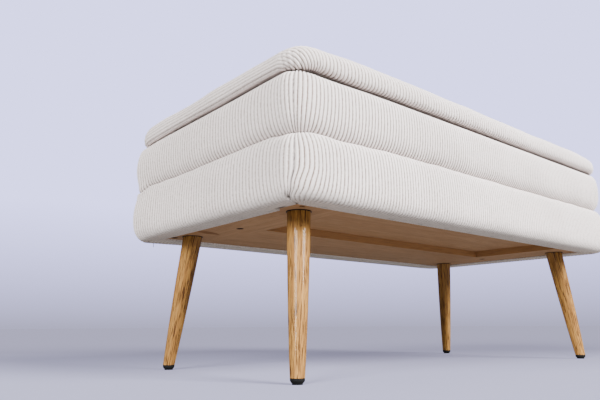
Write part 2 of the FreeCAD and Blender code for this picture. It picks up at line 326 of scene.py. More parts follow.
def makeMetal(name, colour, roughness, scratch):
    material, tree, shader = newMaterial(name)
    fibre = useGroup(tree, fibreGroup, Vector=objectVector(tree), Fineness=scratch)
    dull = [c * 0.72 for c in colour[:3]] + [1]
    rough = mapRange(tree, fibre["Fibre"], 0.3, 0.7, roughness - 0.1, roughness + 0.1)
    tree.links.new(mixColour(tree, fibre["Blotch"], colour, dull), shader.inputs["Base Color"])
    tree.links.new(rough, shader.inputs["Roughness"])
    shader.inputs["Metallic"].default_value = 1.0
    addBump(tree, shader, fibre["Fibre"], 0.15, 0.0002)
    return material


def makePlastic(name, colour, roughness):
    material, tree, shader = newMaterial(name)
    fibre = useGroup(tree, fibreGroup, Vector=objectVector(tree), Fineness=1500.0)
    dusty = [c * 1.6 + 0.001 for c in colour[:3]] + [1]
    rough = mapRange(tree, fibre["Fibre"], 0.3, 0.7, roughness - 0.06, roughness + 0.08)
    tree.links.new(mixColour(tree, fibre["Blotch"], colour, dusty), shader.inputs["Base Color"])
    tree.links.new(rough, shader.inputs["Roughness"])
    shader.inputs["Specular IOR Level"].default_value = 0.1
    addBump(tree, shader, fibre["Fibre"], 0.25, 0.0002)
    return material


legOak = {"early": (0.55, 0.295, 0.078, 1), "late": (0.36, 0.172, 0.046, 1), "line": (0.21, 0.095, 0.027, 1),
          "lineDepth": 0.85, "pore": (0.075, 0.031, 0.012, 1), "poreDepth": 1.0, "bands": 130.0, "waviness": 3.2,
          "roughness": 0.36, "specular": 0.05, "coat": 0.22, "coatRoughness": 0.08, "bump": 0.5, "bores": []}
boardOak = {"early": (0.59, 0.345, 0.19, 1), "late": (0.48, 0.265, 0.14, 1), "line": (0.37, 0.19, 0.09, 1),
            "lineDepth": 0.4, "pore": (0.16, 0.08, 0.04, 1), "poreDepth": 0.3, "bands": 45.0, "waviness": 5.0,
            "roughness": 0.6, "specular": 0.15, "coat": 0.0, "coatRoughness": 0.35, "bump": 0.15,
            "edge": (0.41, 0.215, 0.09, 1), "bores": [(-0.315, 0.02), (0.315, 0.02), (-0.347, 0.1565)],
            "boreShade": (0.012, 0.008, 0.005, 1), "boreEdge": (0.0058, 0.0050)}
knotLook = {"place": (-0.328, 0.083, 0.202), "turn": 0.25, "length": 0.026, "width": 0.010, "depth": 0.9,
            "wobble": 0.006, "colour": (0.24, 0.10, 0.032, 1)}
plyLook = dict(boardOak, bores=[], early=(0.62, 0.47, 0.31, 1), late=(0.52, 0.38, 0.24, 1),
               edge=(0.45, 0.31, 0.19, 1), roughness=0.65)

quarter = math.pi / 2
corduroyMaterial = makeCorduroy()
liningMaterial = makeCloth("blackLining", (0.030, 0.030, 0.033, 1), (0.010, 0.010, 0.011, 1), 700.0, 0.9)
threadMaterial = makeCloth("sewingThread", (0.30, 0.28, 0.26, 1), (0.20, 0.18, 0.16, 1), 2500.0, 0.8)
makeOak("oakBoardLong", boardOak)
makeOak("oakBoardEnd", boardOak, turn=(0, 0, quarter))
makeOak("oakBoardKnot", dict(boardOak, knot=knotLook), turn=(0, 0, quarter))
makeOak("rawPlywood", plyLook)
blackPlastic = makePlastic("blackPlastic", (0.006, 0.006, 0.0065, 1), 0.42)
makePlastic("blackRubber", (0.02, 0.02, 0.02, 1), 0.7)
makePlastic("blackSteel", (0.012, 0.012, 0.012, 1), 0.5)
zincSteel = makeMetal("zincSteel", (0.62, 0.62, 0.60, 1), 0.36, 800.0)
print("materials made")


# wood, steel and plastic carried over from the frame

nodeFinish = {
    "oakBoardEnd": ["right_bottom_board"], "oakBoardKnot": ["left_bottom_board"],
    "oakBoardLong": ["rear_bottom_board", "front_bottom_rail", "floor_panel"],
    "rawPlywood": ["front_panel", "back_panel", "left_panel", "right_panel", "lid_board"],
    "blackSteel": ["board_screws"], "blackRubber": ["bumpers"],
    "zincSteel": ["hem_staples", "glide_nails", "box_hinge_screws", "lid_hinge_screws", "hinge_box_leaf_left",
                  "hinge_box_leaf_right", "hinge_lid_leaf_left", "hinge_lid_leaf_right", "hinge_pin_left",
                  "hinge_pin_right"],
}
corners = {"front_left": (-1, -1), "front_right": (1, -1), "back_left": (-1, 1), "back_right": (1, 1)}
legPlan = {"splay": 0.0217, "length": 0.2, "grainShift": (0.13, 0.07, 0.05)}


def paint(nodeName, material):
    data = nodes[nodeName].data
    if data.materials:
        for i in range(len(data.materials)):
            data.materials[i] = material
    else:
        data.materials.append(material)


for finish, painted in nodeFinish.items():
    for nodeName in painted:
        paint(nodeName, bpy.data.materials[finish])
for corner, (signX, signY) in corners.items():
    paint("leg_bolt_" + corner, zincSteel)
    paint("t_nut_" + corner, zincSteel)
    paint("leg_washer_" + corner, blackPlastic)
    paint("glide_" + corner, blackPlastic)
    down = Vector((signX * legPlan["splay"], signY * legPlan["splay"], -legPlan["length"]))
    lean = down.to_track_quat("X", "Z").to_euler()
    back = lean.to_matrix().inverted().to_euler()
    shiftX, shiftY, shiftZ = legPlan["grainShift"]  # so that no two legs show the same figure
    centre = (shiftX * signX, shiftY * signY, shiftZ * signX * signY)
    paint("leg_" + corner, makeOak("oakLeg_" + corner, legOak, turn=tuple(back), centre=centre))
print("frame nodes painted")


# ribbed corduroy: every cover is a grid with its columns along the ribs; sizes from here on are in millimetres

# the cloth is drawn tighter along the two ends, so its ribs lie wider and flatter there
cordPlan = {"endPitch": 6.73, "longPitch": 5.5, "lidPitch": 6.1, "endDepth": 0.8, "longDepth": 1.2, "lidDepth": 1.2,
            "height": 1.7, "middle": 0.6, "perRib": 7}


def ribShape(phase):                              # 0 in a valley, 1 on a crest
    return 1 - np.abs(2 * (phase % 1) - 1) ** 2.2


def ribbedSurface(place, phase, strength):
    shape = ribShape(phase)
    lift = cordPlan["height"] * (shape - cordPlan["middle"]) * strength
    return place + gridNormals(place) * lift[..., None], shape * strength + (1 - strength) * cordPlan["middle"]


# box covers, one tall panel for each side, sewn at the corners

# in these plans a name that ends in At holds a place and a half width, and one that ends in From or Reach where a
# change starts and where it is full
coverPlan = {
    "halfX": 376.0, "halfY": 187.0, "padding": 23.0,
    # the profile, as distance out from the wall and height: hem, rolled lower band, upper band, edge turned in
    "hem": [(-18, 201.8), (-18.5, 200.8), (-17, 200), (-9, 199.9), (0, 199.8)],
    "roll": [(0, 199.8), (5, 199), (10, 198.4), (15, 199.6), (19.4, 203.2), (22.4, 210), (23.9, 220), (24.2, 234),
             (23.8, 250), (22.4, 265), (20.6, 272.6), (17.4, 277.4), (12.5, 279.6), (8.5, 280.1)],
    "upper": [(8.5, 280.1), (11.4, 281.0), (14.9, 284.0), (18.0, 288.8), (20.6, 296.0), (22.1, 305.0), (22.9, 316),
              (22.7, 327), (22.1, 335.5), (20.6, 342.5), (17.4, 348.3), (12.5, 351.4), (7, 352.4)],
    "turnIn": [(7, 352.4), (-4, 352.2), (-11.5, 351.2), (-14.2, 348.6), (-14.5, 338), (-14.2, 325)],
    "rows": {"hem": 7, "roll": 34, "upper": 34, "turnIn": 10},
    # bands as height and half width, then single heights, and how far out the outer face starts
    "bands": ((238, 34), (316, 30)), "bandFrom": 3, "channel": 280.5, "top": 352, "foot": 205, "faceFrom": 5,
    # noises as size and depth, a puff beside the seam as depth, place and half width
    "unevenness": ((130.0, 0.55), (38.0, 0.16)), "creaseNoise": (26.0, 0.45), "creaseWaver": (60.0, 0.5),
    "puff": (0.8, 16, 13), "swellAt": (30, 45), "creaseWidth": 9, "creaseDepth": (1.2, 14),
    "sagAt": (280, 36), "sagReach": {"long": (190, 25), "end": (55, 25)}, "leanReach": {"long": 70, "end": 26},
    "cornerGather": {"before": 20, "most": 1.3, "leastArc": 0.5, "blend": (6, -8)},
}
# the cloth drawn towards a seam: how far, and how near the seam
gatherPlan = {"channel": (3.4, 20), "drawnWidth": (36, 14), "underside": (5.0, 23), "undersideFrom": (240, 200)}
# the seam nearest the front left leg wanders: a pull under the band, one below the roll, and a straighter middle
nearSeam = {"pull": 3.5, "pullFrom": (235, 212), "underPull": 6.5, "underFrom": (211, 200), "straighten": 1.2,
            "straightAt": (247, 24), "reach": 26}
seamPlan = {"from": 4, "stitch": 5.2, "thread": 0.9, "pinch": (1.6, 1.5, 0.6), "dimple": (6, 0.5), "footPinch": 2.4,
            "footAt": (201, 6), "footWidth": 8, "footOpening": 1.5, "openFrom": (207, 202), "openWidth": 1.2,
            "shade": (0.25, 0.75), "stitchEdge": (0.55, 0.85), "footShade": 0.6, "footShadeFrom": (236, 216)}
# a second row of stitches one rib from the seam, on the two ends
secondRow = {"depth": 0.3, "shade": 0.4, "stitchEdge": (0.5, 0.9), "upper": (278, 284), "lower": (216, 236),
             "lowerTop": (278, 270), "lowerDepth": 0.7}
tuckPlan = {"height": 202.8, "rise": 0.05, "riseFrom": 3, "width": 1.3, "reach": (14, 8), "depth": 2.2, "shade": 0.9}
foldShade = {"crease": 0.45, "creaseFrom": (15, 8.5), "foot": 0.12, "footFrom": 214, "footOut": 14, "valleys": 0.5,
             "valleysAt": (284, 7), "valleysFrom": 280.1}
ribFade = {"seam": (0.3, 2.4), "crease": 0.2, "under": 0.6, "underBack": 0.85, "underFrom": (212, 201)}
# tops, feet and channel that are not quite level: drops and rises at each side
levelPlan = {"from": 335, "fade": 22, "slumpAt": (45, 60), "front": (0.8, 2.0), "left": (0.4, 1.3), "backFoot": 0.9,
             "footAt": (11, 9), "footFrom": 236, "shoulderFrom": 320, "channelAt": (281, 8),
             "backLeft": {"reach": 60, "channelFill": 6.5, "shoulder": 3.0, "foot": 2.6}}
hemPlan = {"ribs": 0.15, "cutFrom": (126, 135), "cut": 0.46, "cutShade": 143, "cutWidth": 10, "cutRows": 3,
           "cornerFill": 0.46, "cornerReach": 14, "endDrop": 0.25}
sides = {                                         # quarter turns, long side or not, and the seams at its ends
    "right": (0, False, "front_right", "back_right"),
    "back": (quarter, True, "back_right", "back_left"),
    "left": (2 * quarter, False, "back_left", "front_left"),
    "front": (3 * quarter, True, "front_left", "front_right"),
}
# radius where the padding starts, extra fullness, and how far the seam leans to the short side at top and foot
sewnCorners = {
    "front_left": {"radius": 9.5, "swell": 0.0, "lean": (5.5, 5.5), "sag": 3.4},
    "front_right": {"radius": 14.0, "swell": 0.5, "lean": (1.0, 3.0), "sag": 0.5},
    "back_left": {"radius": 5.0, "swell": 3.5, "lean": (0.0, 3.0), "sag": 6.5},
    "back_right": {"radius": 14.0, "swell": 0.5, "lean": (-1.0, 2.0), "sag": 1.0},
}


def coverProfile():
    parts = []
    for name, count in coverPlan["rows"].items():
        line = throughPoints(coverPlan[name], count)
        parts.append(line if not parts else line[1:])
    return np.vstack(parts)


def roundCorner(along, u, out, reach, radius, half):
    # place on a rounded corner, and the same with the cloth gathered for rows that turn in under or over the boards
    straight = reach - radius
    past = np.maximum(along - straight, 0)
    angle = past / (radius + coverPlan["padding"])
    arc = np.maximum(radius + u, 0)
    x1 = out - radius + arc * np.cos(angle)
    y1 = np.where(past > 0, straight + arc * np.sin(angle), along)
    gather = coverPlan["cornerGather"]
    start = straight - gather["before"]
    middle = reach + u - arc
    share = np.clip((along - start) / (half - start), 0, gather["most"])
    run = share * (middle - start + arc * math.pi / 4)
    bend = np.maximum(run - (middle - start), 0) / np.maximum(arc, gather["leastArc"])
    x2 = out + u - arc + arc * np.cos(bend)
    y2 = np.where(share > 0, np.minimum(start + run, middle) + arc * np.sin(bend), along)
    mixed = smoothStep(*gather["blend"], u)
    return x1 * (1 - mixed) + x2 * mixed, y1 * (1 - mixed) + y2 * mixed


def gathered(amount, reach, toSeam):
    return amount * (toSeam / reach) * np.exp(1 - toSeam / reach)


def seamLean(side, z, toSeam, atNearSeam, top, foot):
    # the seam leans to the short side, and takes the ribs beside it along
    lean = foot + (top - foot) * smoothStep(coverPlan["foot"], coverPlan["top"], z)
    height, width = nearSeam["straightAt"]
    kick = nearSeam["pull"] * smoothStep(*nearSeam["pullFrom"], z)
    kick = kick + nearSeam["underPull"] * smoothStep(*nearSeam["underFrom"], z)
    kick = (kick - nearSeam["straighten"] * bell(z - height, width)) * atNearSeam
    kick = kick * np.exp(-(toSeam / nearSeam["reach"]) ** 1.5)
    isLong = sides[side][1]
    reach = coverPlan["leanReach"]["long" if isLong else "end"]
    return (lean * np.exp(-(toSeam / reach) ** 1.5) + kick) * (1 if isLong else -1)


def levelChange(side, u, z, p, toSeam):
    # how far the padding stands out or drops where tops, feet and channel are not quite level
    start, reach = levelPlan["slumpAt"]
    atTop = smoothStep(levelPlan["from"], coverPlan["top"], z) * smoothStep(0, levelPlan["fade"], toSeam)
    slump, rise = levelPlan["front"], levelPlan["left"]
    drop = 0 * (z + p)
    if side == "front":
        drop = drop + atTop * (slump[0] + slump[1] * bell(toSeam - start, reach) * (p < 0))
    if side == "left":
        drop = drop - atTop * (rise[0] + rise[1] * bell(toSeam - start, reach) * (p > 0))
    corner = levelPlan["backLeft"]
    atCorner = {"back": p > 0, "left": p < 0}.get(side, False) * bell(toSeam, corner["reach"])
    footDrop = levelPlan["backFoot"] * (side == "back") * smoothStep(0, 70, toSeam) + corner["foot"] * atCorner
    drop = drop + corner["shoulder"] * atCorner * smoothStep(levelPlan["shoulderFrom"], coverPlan["top"], z)
    (footOut, footWidth), (channelAt, channelWidth) = levelPlan["footAt"], levelPlan["channelAt"]
    atFoot = smoothStep(levelPlan["footFrom"], coverPlan["foot"], z)
    drop = drop + footDrop * bell(u - footOut, footWidth) * (z < levelPlan["footFrom"] - 4) * atFoot
    return corner["channelFill"] * atCorner * bell(z - channelAt, channelWidth) * (u > coverPlan["faceFrom"]), drop


def makeCover(side, seed):
    turn, isLong, lowCorner, highCorner = sides[side]
    out, reach = (coverPlan["halfY"], coverPlan["halfX"]) if isLong else (coverPlan["halfX"], coverPlan["halfY"])
    run = "long" if isLong else "end"
    ends = [sewnCorners[lowCorner], sewnCorners[highCorner]]
    halves = [reach - e["radius"] + (e["radius"] + coverPlan["padding"]) * math.pi / 4 for e in ends]
    pitch = cordPlan[run + "Pitch"]
    ribs = round(sum(halves) / pitch)
    p = np.linspace(-halves[0], halves[1], ribs * cordPlan["perRib"] + 1)[None, :]
    profile = coverProfile()
    u, z = profile[:, :1], profile[:, 1:]
    inHem = np.arange(len(profile))[:, None] < coverPlan["rows"]["hem"]
    high = p > 0
    half, radius = np.where(high, halves[1], halves[0]), np.where(high, ends[1]["radius"], ends[0]["radius"])
    pick = lambda key: np.where(high, ends[1][key], ends[0][key])
    top, foot = (np.where(high, ends[1]["lean"][i], ends[0]["lean"][i]) for i in (0, 1))
    toSeam = half - np.abs(p)
    atNearSeam = {"front": p < 0, "left": p > 0}.get(side, False)
    phase = (p + halves[0]) / sum(halves) * ribs
    onFace = u > coverPlan["faceFrom"]

    # ribs crowd to the seam at the channel and under the bottom
    fromChannel = z - coverPlan["channel"]
    crease = bell(fromChannel, coverPlan["creaseWidth"]) * onFace
    drawn = bell(fromChannel, np.where(fromChannel > 0, *gatherPlan["drawnWidth"])) * onFace
    slide = (drawn * gathered(*gatherPlan["channel"], toSeam)
             + smoothStep(*gatherPlan["undersideFrom"], z) * gathered(*gatherPlan["underside"], toSeam))
    along = np.abs(p) + slide + seamLean(side, z, toSeam, atNearSeam, top, foot)
    seamGap = toSeam - slide

    # padding: slow unevenness, fuller bands, a channel that deepens and sags at the seam
    (slowSize, slowDepth), (quickSize, quickDepth) = coverPlan["unevenness"]
    creaseSize, creaseNoise = coverPlan["creaseNoise"]
    creaseDepth, creaseReach = coverPlan["creaseDepth"]
    waverSize, waver = coverPlan["creaseWaver"]
    swellFrom, swellWidth = coverPlan["swellAt"]
    puff, puffAt, puffWidth = coverPlan["puff"]
    sagAt, sagWidth = coverPlan["sagAt"]
    soft = softNoise(p, z, seed, slowSize) * slowDepth + softNoise(p, z * 0.6, seed + 7, quickSize) * quickDepth
    inBand = sum(bell(z - middle, width) for middle, width in coverPlan["bands"])
    grow = soft * inBand * (u > coverPlan["bandFrom"])
    grow = grow + pick("swell") * inBand * bell(np.maximum(toSeam - swellFrom, 0), swellWidth)
    grow = grow - creaseDepth * crease * bell(seamGap, creaseReach)
    grow = grow + creaseNoise * crease * softNoise(p, 0 * z, seed + 3, creaseSize)
    fill, drop = levelChange(side, u, z, p, toSeam)
    uNow = u + grow + puff * inBand * bell(seamGap - puffAt, puffWidth) + fill
    sag = pick("sag") * bell(z - sagAt, sagWidth) * smoothStep(*coverPlan["sagReach"][run], toSeam) * onFace
    zNow = z - sag + crease * softNoise(p, 0 * z, seed + 5, waverSize) * waver - drop

    # painted shade in the channel crease, under the roll and in the rib valleys just above the channel; the hem of
    # the left end was trimmed short where it meets the front, with a painted dark slit of shade at the cut
    shade = foldShade["crease"] * crease * smoothStep(*foldShade["creaseFrom"], u) + 0 * p
    atFoot = smoothStep(foldShade["footFrom"], coverPlan["foot"], z) * (u > foldShade["footOut"])
    valleysAt, valleysWidth = foldShade["valleysAt"]
    inValleys = bell(z - valleysAt, valleysWidth) * onFace * (z > foldShade["valleysFrom"]) * (1 - ribShape(phase))
    shade = shade + foldShade["foot"] * atFoot + foldShade["valleys"] * inValleys
    if side == "left":
        uNow = uNow * (1 - hemPlan["cut"] * smoothStep(*hemPlan["cutFrom"], p) * inHem)
        edge = np.arange(len(profile))[:, None] < coverPlan["rows"]["hem"] - hemPlan["cutRows"]
        shade = shade + edge * bell(p - hemPlan["cutShade"], hemPlan["cutWidth"])

    # pinched corner seam, its stitches, and the open foot, with painted shade along the seam, at the stitches and in
    # the open foot
    outside = (u > seamPlan["from"]) & ~inHem
    stitch = 0.5 + 0.5 * np.sin(z * math.tau / seamPlan["stitch"] + seed)
    (pinchWidth, pinch, pinchByStitch), (dimpleWidth, dimple) = seamPlan["pinch"], seamPlan["dimple"]
    pinched = bell(seamGap, pinchWidth) * (pinch + pinchByStitch * stitch) + bell(seamGap, dimpleWidth) * dimple
    footAt, footHeight = seamPlan["footAt"]
    pinched = pinched + bell(z - footAt, footHeight) * bell(seamGap, seamPlan["footWidth"]) * seamPlan["footPinch"]
    footOpen = smoothStep(*seamPlan["openFrom"], z) * bell(seamGap, seamPlan["openWidth"])
    uNow = uNow - (pinched + seamPlan["footOpening"] * footOpen) * outside
    onThread = bell(toSeam, seamPlan["thread"])
    plain, byStitch = seamPlan["shade"]
    shade = shade + outside * onThread * (plain + byStitch * smoothStep(*seamPlan["stitchEdge"], stitch)) + footOpen
    shade = shade + seamPlan["footShade"] * outside * onThread * smoothStep(*seamPlan["footShadeFrom"], z)
    shade = shade + inHem * bell(toSeam, 1.0)
    if not isLong:
        lower = secondRow["lowerDepth"] * smoothStep(*secondRow["lower"], z) * smoothStep(*secondRow["lowerTop"], z)
        second = bell(toSeam - pitch, 1.0) * (smoothStep(*secondRow["upper"], z) + lower) * outside * high
        uNow = uNow - secondRow["depth"] * second * (1 + stitch)
        # painted shade at the stitches of the second row
        shade = shade + secondRow["shade"] * second * smoothStep(*secondRow["stitchEdge"], stitch)
    if side == "left":
        rise = tuckPlan["rise"] * np.maximum(seamGap - tuckPlan["riseFrom"], 0) ** 2
        tuck = bell(z - tuckPlan["height"] - rise, tuckPlan["width"]) * smoothStep(*tuckPlan["reach"], seamGap) * high
        uNow = uNow - tuckPlan["depth"] * tuck * outside
        # painted shade in the tuck
        shade = shade + tuckPlan["shade"] * tuck * outside

    # from the flat wall to its place round the box
    x, y = roundCorner(along, uNow, out, reach, radius, half)
    if side == "front":
        nearEnd = inHem * (p < 0) * smoothStep(hemPlan["cornerReach"], 0, toSeam)
        y = y + hemPlan["cornerFill"] * np.maximum(-u, 0) * nearEnd
    y, zNow = y * np.where(high, 1, -1), zNow - hemPlan["endDrop"] * inHem * (not isLong) + 0 * x
    strength = smoothStep(*ribFade["seam"], toSeam) * np.where(inHem, hemPlan["ribs"], 1.0)
    strength = strength * (1 - ribFade["crease"] * crease)
    under = ribFade["underBack" if side == "back" else "under"]
    strength = strength * (1 - under * smoothStep(*ribFade["underFrom"], z) * ~inHem)
    place, rib = ribbedSurface(np.stack([x, y, zNow], axis=2), phase + 0 * z, strength * cordPlan[run + "Depth"])
    x, y, zNow = np.moveaxis(place, 2, 0)
    c, w = math.cos(turn), math.sin(turn)
    turned = np.stack([x * c - y * w, x * w + y * c, zNow], axis=2)
    marks = {"rib": rib.ravel(), "shade": np.clip(shade + 0 * x, 0, 1).ravel()}
    piece = meshPiece(side + "Cover", turned.reshape(-1, 3), gridFaces(*x.shape).tolist(), "box",
                      corduroyMaterial, marks)
    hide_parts(side + "_cover", side + "_foam")


for seed, side in enumerate(sides):
    makeCover(side, 11 + 20 * seed)
print("box covers made")


# storage linings: thin dark cloth stretched over the boards, with a turned hem and slight waves

linings = {                                       # node, body, side that shows, board under it
    "floorLining": ("floor_lining", "box", 1, "floor_panel"),
    "frontLining": ("front_lining", "box", 1, "front_panel"),
    "backLining": ("back_lining", "box", -1, "back_panel"),
    "leftLining": ("left_lining", "box", 1, "left_panel"),
    "rightLining": ("right_lining", "box", -1, "right_panel"),
    "lidLining": ("lid_lining", "lid", -1, "lid_board"),
}
liningPlan = {"step": 8.0, "rim": (0.0, 1.2, 10.5, 12.0, 13.5), "inside": (20, 18), "dip": 0.3, "wave": 0.25,
              "waveSize": 90.0, "rimDrop": 0.35}


def makeLining(name, seed):
    nodeName, body, side, board = linings[name]
    low, high = (np.array(corner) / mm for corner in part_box(nodeName))
    across = int(np.argmin(high - low))
    first, second = [axis for axis in range(3) if axis != across]
    thick, rim = high[across] - low[across], np.array(liningPlan["rim"])
    start, end = liningPlan["inside"]
    stops = [np.r_[low[axis] + rim, np.arange(low[axis] + start, high[axis] - end, liningPlan["step"]),
                   (high[axis] - rim)[::-1]] for axis in (first, second)]
    p, q = np.meshgrid(*stops)
    toEdge = np.minimum(np.minimum(p - low[first], high[first] - p), np.minimum(q - low[second], high[second] - q))
    wave = np.clip(0.5 + 0.5 * softNoise(p, q, seed, liningPlan["waveSize"]), 0, 1) * smoothStep(13, 60, toEdge)
    dent = liningPlan["dip"] * smoothStep(10.5, 13.5, toEdge) + liningPlan["wave"] * wave
    dent = dent + liningPlan["rimDrop"] * (toEdge < 0.5)
    shown, hidden = (high, low) if side > 0 else (low, high)
    points = np.zeros((2,) + p.shape + (3,))
    points[..., first], points[..., second] = p, q
    points[0, ..., across] = shown[across] - side * thick * dent
    points[1, ..., across] = hidden[across]
    rows, columns = p.shape
    index = np.arange(p.size).reshape(p.shape)
    ring = np.r_[index[0, :-1], index[:-1, -1], index[-1, :0:-1], index[:0:-1, 0]]
    grid, after = gridFaces(rows, columns), np.roll(ring, -1)
    walls = np.stack([after, ring, ring + p.size, after + p.size], axis=1)
    faces = np.vstack([grid, grid[:, ::-1] + p.size, walls])
    if (across == 1) != (side < 0):               # keeps the faces pointing outwards
        faces = faces[:, ::-1]
    piece = meshPiece(name, points.reshape(-1, 3), faces.tolist(), body, liningMaterial)
    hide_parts(nodeName)


for seed, name in enumerate(linings):
    makeLining(name, 40 + seed)
print("linings made")


# a loose end of sewing thread under the back corner

threadPlan = {"radius": 0.0004, "overlap": 0.0003,   # metres
              "points": [(-0.3630, 0.2000, 0.1990), (-0.3602, 0.2045, 0.1966), (-0.3596, 0.2052, 0.1912)]}


def makeLooseThread():
    bpy.ops.object.select_all(action="DESELECT")
    bpy.ops.mesh.primitive_cylinder_add(vertices=8, radius=threadPlan["radius"], depth=0.001, location=(0, 0, 0))
    thread = bpy.context.object
    thread.name = "looseThread"
    bpy.ops.object.mode_set(mode="EDIT")
    bpy.ops.mesh.select_all(action="SELECT")
    bpy.ops.mesh.delete(type="VERT")
    points = [Vector(point) for point in threadPlan["points"]]
    for start, end in zip(points, points[1:]):
        along = end - start
        bpy.ops.mesh.primitive_cylinder_add(
            vertices=8, radius=threadPlan["radius"], depth=along.length + threadPlan["overlap"],
            location=(start + end) / 2, rotation=along.to_track_quat("Z", "Y").to_euler())
    bpy.ops.object.mode_set(mode="OBJECT")
    thread.data.materials.clear()
    thread.data.materials.append(threadMaterial)
    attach(thread, "box")


makeLooseThread()
print("loose thread made")


# lid cover: one piece of corduroy drawn down over the edges, its ribs running front to back

lidPlan = {
    "coreX": 356.0, "coreY": 167.0, "crown": 4.0, "endDrop": (0.125, 0.045), "sideDrop": 0.045,
    # the edge, as distance out from the flat middle and height: over the top, down the side and in below
    "edge": [(0, 400), (3, 399.95), (11, 398.9), (20, 396.2), (29, 391.6), (36, 385.4), (40.4, 378), (42.0, 370.5),
             (42.0, 364.4), (40.8, 359.6), (38, 356.6), (34, 355.6), (29, 355.9), (23, 356.5), (17, 356.9),
             (9.6, 357)],
    "pleats": [(0.30, 1.0), (0.46, 1.3), (0.63, 1.2), (0.84, 0.8)],      # angle round the corner, depth
    "sideRows": 36, "middleRows": 18, "unevenness": ((150.0, 0.5), (45.0, 0.15)), "underside": 357,
    # a slump or a lift is an amount, a place and a half width
    "frontSlump": (1.8, 40, 60), "endLift": (1.7, 40, 60), "farSlump": (3.6, 45, 75), "hingeLift": (2.2, 230, 45),
    "underShade": 0.9, "underEdge": ((37.5, 1.7), (32.5, 1.2)), "underRibs": 0.6, "endRibs": 0.62,
    "endDropFrom": (290, 378), "sideDropFrom": (110, 190), "endFace": ((20, 34), (0.9, 0.3)), "pleatsFrom": (34, 54),
}
pleatShape = {"wander": (0.05, 9), "ridge": (0.5, 4.2, 2.6), "groove": 1.5, "shade": (0.45, 0.8)}


def lidDroop(s, t, x, z, e, r, angle, endFace, low, total):
    # how far the edge hangs below its own profile, less where the hinges are
    lift, hingeAt, hingeWidth = lidPlan["hingeLift"]
    atHinge = (t > 0) * smoothStep(364, 356, z) * smoothStep(20, 30, r) * bell(x - hingeAt, hingeWidth)
    near, left = (s < 0) * (t < 0), s < 0
    slump, start, reach = lidPlan["frontSlump"]
    nearFront = slump * bell(s + lidPlan["coreX"] - start, reach) * near * smoothStep(0.8, 1.4, angle)
    nearFront = nearFront * (np.abs(t) > lidPlan["coreY"]) * smoothStep(0, 30, e)
    rise, start, reach = lidPlan["endLift"]
    nearEnd = rise * bell(t + lidPlan["coreY"] - start, reach) * near * endFace * smoothStep(372, 358, z)
    slump, start, reach = lidPlan["farSlump"]
    farEnd = slump * bell(t - lidPlan["coreY"] - start, reach) * left * smoothStep(30, 60, e)
    farEnd = farEnd * smoothStep(lidPlan["coreX"] - 10, lidPlan["coreX"] + 20, -s)
    return (low * np.maximum(z - lidPlan["underside"], 0) - lift * atHinge + farEnd
            + (nearFront - nearEnd) * smoothStep(total - 5, total - 20, e))


